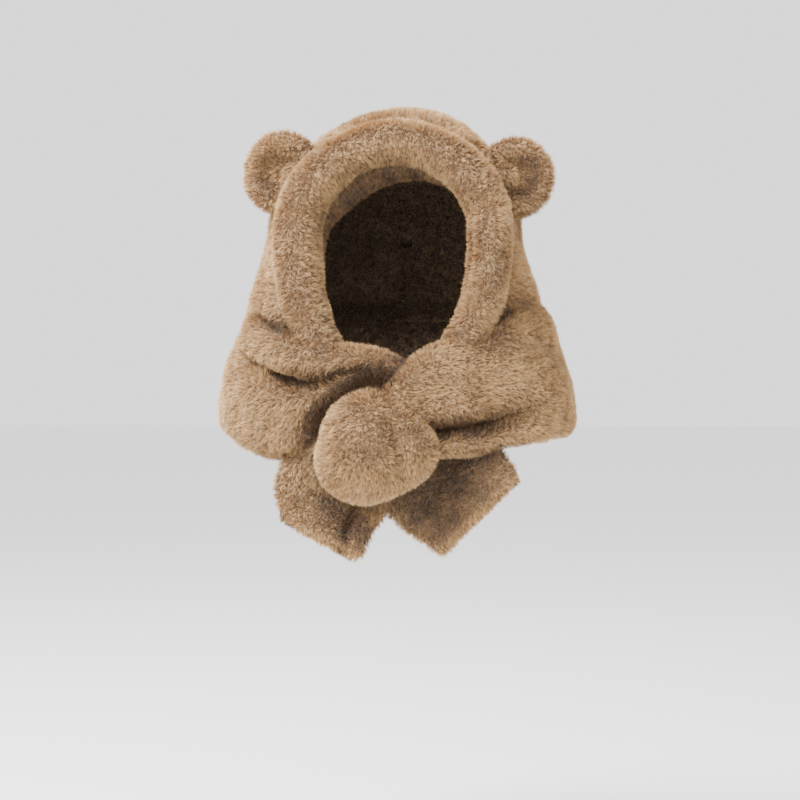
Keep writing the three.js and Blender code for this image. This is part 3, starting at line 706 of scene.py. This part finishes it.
def area_of(points, closed):
    """The area of a grid."""
    if closed:
        points = np.concatenate([points, points[:, :1]], axis=1)
    across = points[1:, 1:] - points[:-1, :-1]
    over = points[1:, :-1] - points[:-1, 1:]
    return np.linalg.norm(np.cross(across, over), axis=-1).sum() / 2


def casters_of(points, closed, turned=1):
    """Places on a grid with their normals, and the area that each one stands for."""
    places, normals = samples_of(points, closed, SHADOW_SPACING)
    return places, turned * normals, np.full(len(places), area_of(points, closed) / len(places))


def shadow_on(points, normals, casters):
    """How much of the light over each point of a grid is taken by the surfaces near it: the sum of
    their form factors, each the two cosines times the area over pi times the distance squared plus
    the area, and fading out with the distance."""
    places, facings, areas = (part.astype(np.float32) for part in casters)
    flat = points.reshape(-1, 3).astype(np.float32)
    ups = normals.reshape(-1, 3).astype(np.float32)
    taken = np.empty(len(flat), dtype=np.float32)
    for start in range(0, len(flat), 2048):
        here, up = flat[start : start + 2048], ups[start : start + 2048]
        above = up @ places.T - (up * here).sum(axis=1)[:, None]
        facing = here @ facings.T - (places * facings).sum(axis=1)
        square = (here**2).sum(axis=1)[:, None] + (places**2).sum(axis=1) - 2 * here @ places.T
        square = np.maximum(square, 1e-6)
        cosines = np.clip(above, 0, None) * np.clip(facing, 0, None)
        factor = cosines * areas / (square * (np.pi * square + areas))
        taken[start : start + 2048] = (factor * np.exp(-square / SHADOW_REACH**2)).sum(axis=1)
    return taken.reshape(points.shape[:2])


def scattered(grids, closed, count, rng):
    """Values of each grid at roots that are spread evenly by area. The first grid is the points."""
    if closed:
        grids = [np.concatenate([grid, grid[:, :1]], axis=1) for grid in grids]
    points = grids[0]
    across = points[1:, 1:] - points[:-1, :-1]
    over = points[1:, :-1] - points[:-1, 1:]
    area = np.linalg.norm(np.cross(across, over), axis=-1)
    share = np.cumsum(area) / area.sum()
    face = np.minimum(np.searchsorted(share, rng.random(count)), share.size - 1)
    r, q = np.divmod(face, points.shape[1] - 1)
    s, t = rng.random((2, count, 1))

    def blend(grid):
        near = grid[r, q] * (1 - s) + grid[r, q + 1] * s
        far = grid[r + 1, q] * (1 - s) + grid[r + 1, q + 1] * s
        return near * (1 - t) + far * t

    return [blend(grid) for grid in grids]


def pile(name, roots, normals, nap, tall, width, lean, shadow, seed):
    """Short plush: one long triangle for each strand, from its root to its tip. A strand leans
    along the nap, which swirls in slow waves, and its tip is drawn towards the tip of the strand
    at the middle of its clump. Its place on the colour map is its own shade, less its shadow, across
    and its height up the pile."""
    rng = np.random.default_rng(seed)
    count = len(roots)
    swirl = np.stack([wave(roots, SWIRL_SIZE, seed + 11 * k) for k in range(3)], axis=-1)
    ruffle = np.stack([wave(roots, RUFFLE_SIZE, seed + 5 + 11 * k) for k in range(3)], axis=-1)
    way = nap + SWIRL_SHARE * swirl + RUFFLE_SHARE * ruffle
    way = way - normals * (way * normals).sum(axis=1, keepdims=True)
    way = way + STRAY * rng.normal(size=(count, 3))
    tall = tall * (EVEN_HEIGHT + 0.2 * rng.random(count) + 0.08 * wave(roots, 0.02, seed + 3))
    tips = roots + unit(normals + lean * way) * tall[:, None]

    seeds = rng.choice(count, max(1, count // CLUMP_STRANDS), replace=False)
    clump = nearest(roots, roots[seeds])
    pull = CLUMP_PULL * rng.uniform(0.3, 1.3, count)[:, None]
    tips = tips + (tips[seeds][clump] - tips) * pull
    own = rng.random(count) - 0.5
    shared = rng.random(len(seeds))[clump] - 0.5
    shade = 0.5 + 0.35 * shared + 0.2 * wave(roots, 0.03, seed + 7) + 0.5 * own
    shade = SHADOW_SHARE + (1 - SHADOW_SHARE) * shade - shadow
    shade = np.clip(shade, SHADE_WIDTH, 1 - SHADE_WIDTH)

    flat = unit(np.cross(tips - roots, normals) + 0.25 * rng.normal(size=(count, 3)) * tall[:, None])
    half = flat * (width / 2 * rng.uniform(0.7, 1.2, count))[:, None]
    corners = np.stack([roots - half, roots + half, tips], axis=1).reshape(-1, 3)
    piece = object_of(name, corners, np.arange(count * 3).reshape(count, 3))
    across = np.stack([shade - SHADE_WIDTH / 2, shade + SHADE_WIDTH / 2, shade], axis=1)
    height = np.tile([0.01, 0.01, 0.99], (count, 1))
    colour_map = piece.data.uv_layers.new(name="OFBake")
    colour_map.data.foreach_set("uv", np.stack([across, height], axis=-1).astype(np.float32).ravel())
    piece.data.update()
    return piece


# Finishes


def linear(red, green, blue):
    """A colour given as it looks on a screen, from 0 to 255, in linear light."""
    shown = np.array([red, green, blue]) / 255
    return (*np.where(shown <= 0.04045, shown / 12.92, ((shown + 0.055) / 1.055) ** 2.4), 1)


def new_material(name, roughness, sheen):
    """A material with its shader's constant values set."""
    material = bpy.data.materials.new(name)
    material.use_nodes = True
    shader = material.node_tree.nodes["Principled BSDF"]
    shader.inputs["Roughness"].default_value = roughness
    shader.inputs["Specular IOR Level"].default_value = 0.15
    shader.inputs["Sheen Weight"].default_value = sheen
    shader.inputs["Sheen Roughness"].default_value = 0.6
    return material, material.node_tree, shader


def ramp(tree, source, stops):
    """A colour ramp with the given (place, colour) stops, fed by source."""
    node = tree.nodes.new("ShaderNodeValToRGB")
    elements = node.color_ramp.elements
    elements[0].position, elements[0].color = stops[0]
    elements[1].position, elements[1].color = stops[-1]
    for place, colour in stops[1:-1]:
        elements.new(place).color = colour
    tree.links.new(source, node.inputs["Fac"])
    return node.outputs["Color"]


def strand_material(name, up_the_strand, from_dark_to_light, sheen):
    """The colour of strands: a ramp from root to tip, darker at the root as painted shade deep in the pile
    and lighter at the tip as painted light, multiplied by a ramp of shades whose dark end is kept for
    painted shadow.
    """
    material, tree, shader = new_material(name, 0.85, sheen)
    place = tree.nodes.new("ShaderNodeUVMap")
    place.uv_map = "OFBake"
    parts = tree.nodes.new("ShaderNodeSeparateXYZ")
    tree.links.new(place.outputs["UV"], parts.inputs["Vector"])
    mix = tree.nodes.new("ShaderNodeMix")
    mix.data_type = "RGBA"
    mix.blend_type = "MULTIPLY"
    mix.inputs["Factor"].default_value = 1
    tree.links.new(ramp(tree, parts.outputs["Y"], up_the_strand), mix.inputs["A"])
    tree.links.new(ramp(tree, parts.outputs["X"], from_dark_to_light), mix.inputs["B"])
    tree.links.new(mix.outputs["Result"], shader.inputs["Base Color"])
    return material


def backing_material(name, dark, light, grain):
    """The knitted backing under the pile: two tones in a fine uneven grain, with a bump to match."""
    material, tree, shader = new_material(name, 0.95, 0)
    place = tree.nodes.new("ShaderNodeTexCoord")
    noise = tree.nodes.new("ShaderNodeTexNoise")
    noise.inputs["Scale"].default_value = grain
    noise.inputs["Detail"].default_value = 4
    tree.links.new(place.outputs["Object"], noise.inputs["Vector"])
    colour = ramp(tree, noise.outputs["Fac"], [(0.35, dark), (0.65, light)])
    tree.links.new(colour, shader.inputs["Base Color"])
    bump = tree.nodes.new("ShaderNodeBump")
    bump.inputs["Strength"].default_value = 0.6
    bump.inputs["Distance"].default_value = 0.002
    tree.links.new(noise.outputs["Fac"], bump.inputs["Height"])
    tree.links.new(bump.outputs["Normal"], shader.inputs["Normal"])
    return material


# Darker at the root and lighter at the tip as painted shade and painted light in the pile; the dark end of
# the second ramp is painted shadow
PLUSH = strand_material(
    "plush",
    [
        (0.0, linear(126, 94, 58)),
        (0.35, linear(169, 131, 85)),
        (0.7, linear(203, 163, 110)),
        (1.0, linear(238, 203, 151)),
    ],
    [
        (0.0, linear(114, 101, 80)),
        (0.34, linear(204, 199, 191)),
        (0.67, linear(240, 238, 235)),
        (1.0, linear(255, 255, 255)),
    ],
    0.25,
)
# Darker at the root and lighter at the tip as painted shade and painted light in the pile, as on the plush
FLEECE = strand_material(
    "fleece",
    [(0.0, linear(58, 45, 33)), (0.6, linear(82, 65, 49)), (1.0, linear(112, 91, 70))],
    [(0.0, linear(140, 140, 140)), (0.34, linear(190, 190, 190)), (1.0, linear(255, 255, 255))],
    0.1,
)
PLUSH_BACKING = backing_material("plush_backing", linear(128, 98, 68), linear(158, 125, 90), 420)
FLEECE_BACKING = backing_material("fleece_backing", linear(52, 41, 30), linear(84, 67, 50), 520)


# The pieces


def dress(piece, node, material):
    """A piece with its material, its body and the node that it stands for."""
    piece.data.materials.append(material)
    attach(piece, "root")
    if node:
        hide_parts(node)
    return piece


def strip_skin_points(sections, ends, fold=SOFT_FOLD):
    """A strip's rings with the given ends rounded off: True stands for its start."""
    for at_start in ends:
        sections = rounded(sections, at_start)
    return strip_profile(sections, STRIP_SIDES, PILE_DEPTH, fold)


NECK_TURNS = np.linspace(180, 324, 44)  # the part of the strip's ring that the neck lining covers
NECK_SEAM_TURN = 241  # where the two linings are sewn together
NECK_SEAM_SPREAD = 27


def neck_lining_grid(sections, away, fullness):
    """The neck side of the scarf from one shoulder round the back to the other, moved away from it,
    and further, as a bell curve, where the two linings are sewn together."""
    at = -np.cos(np.radians(NECK_TURNS))
    u = -((1 - np.abs(at) ** STRIP_FULLNESS) ** (1 / STRIP_FULLNESS))
    swell = away + fullness * np.exp(-(((NECK_TURNS - NECK_SEAM_TURN) / NECK_SEAM_SPREAD) ** 2))
    wide = at[:, None] * sections["half_wide"][:, None, None]
    flat = sections["centre"][:, None] + sections["across"][:, None] * wide
    return flat + sections["out"][:, None] * ((u * sections["half_thick"][:, None]) - swell)[..., None]


LINING_FOLD_DROP = 0.186
LINING_FOLD_WAVER = 0.004
LINING_FOLD_WIDTH = 0.006
LINING_DENT = 0.0016
LINING_RIPPLE = 0.0008


def lined(points, seed):
    """A lining's own surface: slow dents, small ripples and one soft level fold that wavers."""
    normals = grid_normals(points, False)
    place = points[..., 2] + LINING_FOLD_DROP + LINING_FOLD_WAVER * wave(points, 0.12, seed)
    folds = np.exp(-np.abs(place) / LINING_FOLD_WIDTH)
    dents, ripples = wave(points, 0.06, seed + 1), wave(points, 0.02, seed + 2)
    rise = LINING_DENT * dents + LINING_RIPPLE * ripples - LINING_DENT * folds
    return points - normals * rise[..., None] * np.sign((normals * (points - [0, 0, -0.2])).sum())


SHELL_COLUMNS = 150
SHELL_SWELL = 0.0012
LINING_COLUMNS = 120
LINING_INSET = SHELL_WALL + CLEARANCE
rows = hood_rows(0, 64)
shell_outer = softened(hood_grid(PILE_DEPTH, rows, SHELL_COLUMNS), False, SHELL_SWELL, 70)
shell_inner = hood_grid(SHELL_WALL, rows, SHELL_COLUMNS)
lining_rows = hood_rows(LINING_START, 44)
lining_outer = hood_grid(LINING_INSET, lining_rows, LINING_COLUMNS)
lining_inner = lined(hood_grid(LINING_INSET + LINING_WALL, lining_rows, LINING_COLUMNS), 60)

right_sections = scarf_sections(SCARF_RIGHT, 1, 110)
left_sections = scarf_sections(SCARF_LEFT, -1, 110)
NECK_REACH = 49  # sections of each half, from the back to the shoulder, that the neck lining covers
neck_sections = {
    name: np.concatenate([left[1:NECK_REACH][::-1], right_sections[name][1:NECK_REACH]])
    for name, left in left_sections.items()
}
neck_near = neck_lining_grid(neck_sections, 0, 0)
neck_far = neck_lining_grid(neck_sections, LINING_WALL, LINING_FULLNESS)

right_strip = strip_skin_points(right_sections, [False], PLEAT)
left_strip = pressed_by_knot(outwards(strip_skin_points(left_sections, [False], OVERLAP)))

HEM_PILE_SHARE = 0.6  # how far the hem's skin lies inside its solid, as a share of the others'
right_tail = strip_skin_points(tail_sections(TAIL_RIGHT, 50), [True, False])
left_tail = strip_skin_points(tail_sections(TAIL_LEFT, 50), [True, False])

# Each padded piece: its node, its skin, how far the skin's swells reach, and its fill
PADDED = {
    "face_band": (band_grid(PILE_DEPTH), 0.0012, 0.8),
    "face_hem": (hem_grid(PILE_DEPTH * HEM_PILE_SHARE), 0.0008, 0.6),
    "ear_left": (ear_grid(-1, size=1.04, lift=0.065, tongue=0.35, inset=PILE_DEPTH), 0.001, 0.8),
    "ear_right": (ear_grid(1, size=0.97, lift=-0.025, tongue=1.1, inset=PILE_DEPTH), 0.001, 0.8),
    "scarf_right": (right_strip, 0.0026, 0.5),
    "scarf_left": (left_strip, 0.0026, 0.5),
    "scarf_knot": (knot_grid(PILE_DEPTH), 0.0022, 0.8),
    "tail_left": (left_tail, 0.0024, 0.5),
    "tail_right": (right_tail, 0.0024, 0.5),
}
SWELL_SEED = 52  # one for all, so that the swells run on over a seam
skins = {}
for node, (points, swell, fill) in PADDED.items():
    skins[node] = softened(outwards(points), True, swell, SWELL_SEED)
    dress(ring_skin(node + "_skin", skins[node]), node, PLUSH_BACKING)

# The sheets: the hood's shell and the two linings
shell_skin = wall_skin("hood_shell_skin", shell_outer, shell_inner)
lining_skin = wall_skin("hood_lining_skin", lining_outer, lining_inner)
neck_skin = wall_skin("neck_lining_skin", neck_far, neck_near)
dress(shell_skin, "hood_shell", PLUSH_BACKING)
dress(lining_skin, "hood_lining", FLEECE_BACKING)
dress(neck_skin, "neck_lining", FLEECE_BACKING)

# The plush on each piece: strands for each square metre, the way that its nap lies, and how much painted
# shade it gets beyond the rest: most on the hem deep inside the hood, a little on most other pieces, and
# painted light, below 0, on the ears
DENSITY = 1.4e6
FLEECE_DENSITY = 0.3e6
NAPS = {
    "face_band": ((0.25, -0.2, -0.5), 0),
    "face_hem": ((0.0, -0.6, -0.4), 0.3),
    "ear_left": ((-0.3, -0.3, -0.4), -0.2),
    "ear_right": ((0.3, -0.3, -0.4), -0.12),
    "scarf_right": ((0.5, 0.0, -0.4), 0.04),
    "scarf_left": ((-0.3, 0.0, -0.6), 0.06),
    "scarf_knot": ((-0.2, 0.0, -0.5), 0.02),
    "tail_left": ((-0.2, 0.0, -0.7), 0.02),
    "tail_right": ((0.3, 0.0, -0.7), 0.06),
    "hood_shell": ((0.0, 0.3, -0.6), 0.04),
}


def wall_samples(outer, inner):
    """Places and outward normals on both sides of a wall."""
    near, far = samples_of(outer, False), samples_of(inner, False)
    return np.concatenate([near[0], far[0]]), np.concatenate([near[1], -far[1]])


solids = {node: samples_of(points, True) for node, points in skins.items()}
solids["hood_shell"] = wall_samples(shell_outer, shell_inner)
linings = [wall_samples(lining_outer, lining_inner), wall_samples(neck_far, neck_near)]
shading = [casters_of(points, True) for points in skins.values()]
shading += [casters_of(shell_outer, False), casters_of(lining_inner, False, -1), casters_of(neck_far, False)]
casters = [np.concatenate(parts) for parts in zip(*shading)]


MID_PILE = 0.004  # how high up the pile a strand is tested against the padded pieces
PILE_TOP = 0.0075  # and against the linings
HIDDEN_DEPTH = 0.001
FACE_MIDDLE = np.array([0, -0.08, -0.15])
SEAM_ROWS = 6  # rows at the hood's back seam that lie too close together to measure


def plush_on(node, points, closed, seed):
    """The pile on one piece: shorter in its hollows, with painted shade in its hollows and painted shadow
    where its neighbours are close, and without the strands that they hide."""
    rng = np.random.default_rng(seed)
    count = int(area_of(points, closed) * DENSITY)
    normals = grid_normals(points, closed)
    depths = np.stack([hollowness(points, closed), shadow_on(points, normals, casters)], axis=-1)
    if not closed:
        depths[-SEAM_ROWS:] = depths[-SEAM_ROWS - 1]
    roots, ups, depths = scattered([points, normals, depths], closed, count, rng)
    ups = unit(ups)
    others = [solid for name, solid in solids.items() if name != node]
    hidden = buried(roots + ups * MID_PILE, others, HIDDEN_DEPTH)
    hidden |= buried(roots + ups * PILE_TOP, linings, HIDDEN_DEPTH)
    if node == "face_hem":  # only the side that faces into the opening shows
        hidden |= ((FACE_MIDDLE - roots) * ups).sum(axis=1) < 0
    roots, ups, (hollow, taken) = roots[~hidden], ups[~hidden], depths[~hidden].T
    tall = STRAND_LENGTH * np.clip(1 - (hollow - HOLLOW_START) / HOLLOW_SHORTENING, SHORTEST, 1)
    nap, painted_shade = NAPS[node]
    nap = np.tile(nap, (len(roots), 1))
    # painted shade in hollows and folds, painted shadow from close neighbours, and each piece's own painted
    # shade or painted light
    fold_painted_shade = np.clip(hollow - HOLLOW_START, 0, None) / HOLLOW_PAINTED_SHADE
    shadow = painted_shade + np.clip(SHADOW_STRENGTH * taken + fold_painted_shade - SHADOW_START, 0, DARKEST)
    piece = pile(node + "_plush", roots, ups, nap, tall, STRAND_WIDTH, PILE_LEAN, shadow, seed)
    return dress(piece, None, PLUSH)


def fleece_on(node, points, normals, seed):
    """Short sparse tufts on the side of a lining that shows."""
    rng = np.random.default_rng(seed)
    count = int(area_of(points, False) * FLEECE_DENSITY)
    roots, ups = scattered([points, normals], False, count, rng)
    nap = np.tile((0, 0, -0.5), (count, 1))
    tall = np.full(count, TUFT_LENGTH)
    piece = pile(node + "_fleece", roots, unit(ups), nap, tall, TUFT_WIDTH, TUFT_LEAN, 0, seed)
    return dress(piece, None, FLEECE)


for number, (node, points) in enumerate(skins.items()):
    plush_on(node, points, True, 100 + number)
shell_plush = plush_on("hood_shell", shell_outer, False, 140)
lining_fleece = fleece_on("hood_lining", lining_inner, -grid_normals(lining_inner, False), 150)
neck_fleece = fleece_on("neck_lining", neck_far, grid_normals(neck_far, False), 151)


# The stage, the camera and the lights


def stage_floor():
    """A wide flat pale floor, well below the hood, which is held up at the head."""
    size = 30
    drop = -0.80
    corners = np.array([[-size, -size, drop], [size, -size, drop], [size, size, drop], [-size, size, drop]])
    floor = object_of("floor", corners, np.array([[0, 1, 2, 3]]))
    material, _, shader = new_material("pale_floor", 0.9, 0)
    shader.inputs["Base Color"].default_value = (0.9, 0.9, 0.9, 1)
    floor.data.materials.append(material)


def soft_light(name, place, target, size, power):
    """A square soft light that faces its target."""
    lamp = bpy.data.lights.new(name, "AREA")
    lamp.size = size
    lamp.energy = power
    light = bpy.data.objects.new(name, lamp)
    light.location = place
    light.rotation_euler = (light.location - target).to_track_quat("Z", "Y").to_euler()
    bpy.context.scene.collection.objects.link(light)


CAMERA_AZIMUTH = math.radians(6)
CAMERA_AIM = np.array([-0.0035, -0.0004, -0.293])
BAND_PLANE = -0.105
CAMERA_DISTANCE = 1.6  # from the camera to the plane of the face roll


def photo_camera():
    """A level camera a little to the right, which looks at the middle of the frame."""
    view = np.array([-math.sin(CAMERA_AZIMUTH), math.cos(CAMERA_AZIMUTH), 0])
    depth = (BAND_PLANE - CAMERA_AIM[1]) * view[1] - CAMERA_AIM[0] * view[0]
    camera = bpy.data.objects.new("camera", bpy.data.cameras.new("camera"))
    camera.data.lens = 72
    camera.data.sensor_width = 36
    camera.location = CAMERA_AIM + view * (depth - CAMERA_DISTANCE)
    camera.rotation_euler = (math.pi / 2, 0, CAMERA_AZIMUTH)
    bpy.context.scene.collection.objects.link(camera)
    bpy.context.scene.camera = camera


def pale_surroundings(strength):
    """An even white light from all sides."""
    world = bpy.data.worlds.new("surroundings")
    world.use_nodes = True
    background = world.node_tree.nodes["Background"]
    background.inputs["Color"].default_value = (1, 1, 1, 1)
    background.inputs["Strength"].default_value = strength
    bpy.context.scene.world = world


stage_floor()
MIDDLE = Vector((0, -0.05, -0.2))
soft_light("key", Vector((-0.9, -0.55, 1.8)), MIDDLE, 1.0, 195)
soft_light("fill", Vector((-1.4, -1.6, 0.4)), MIDDLE, 1.8, 26)
photo_camera()
pale_surroundings(1.75)
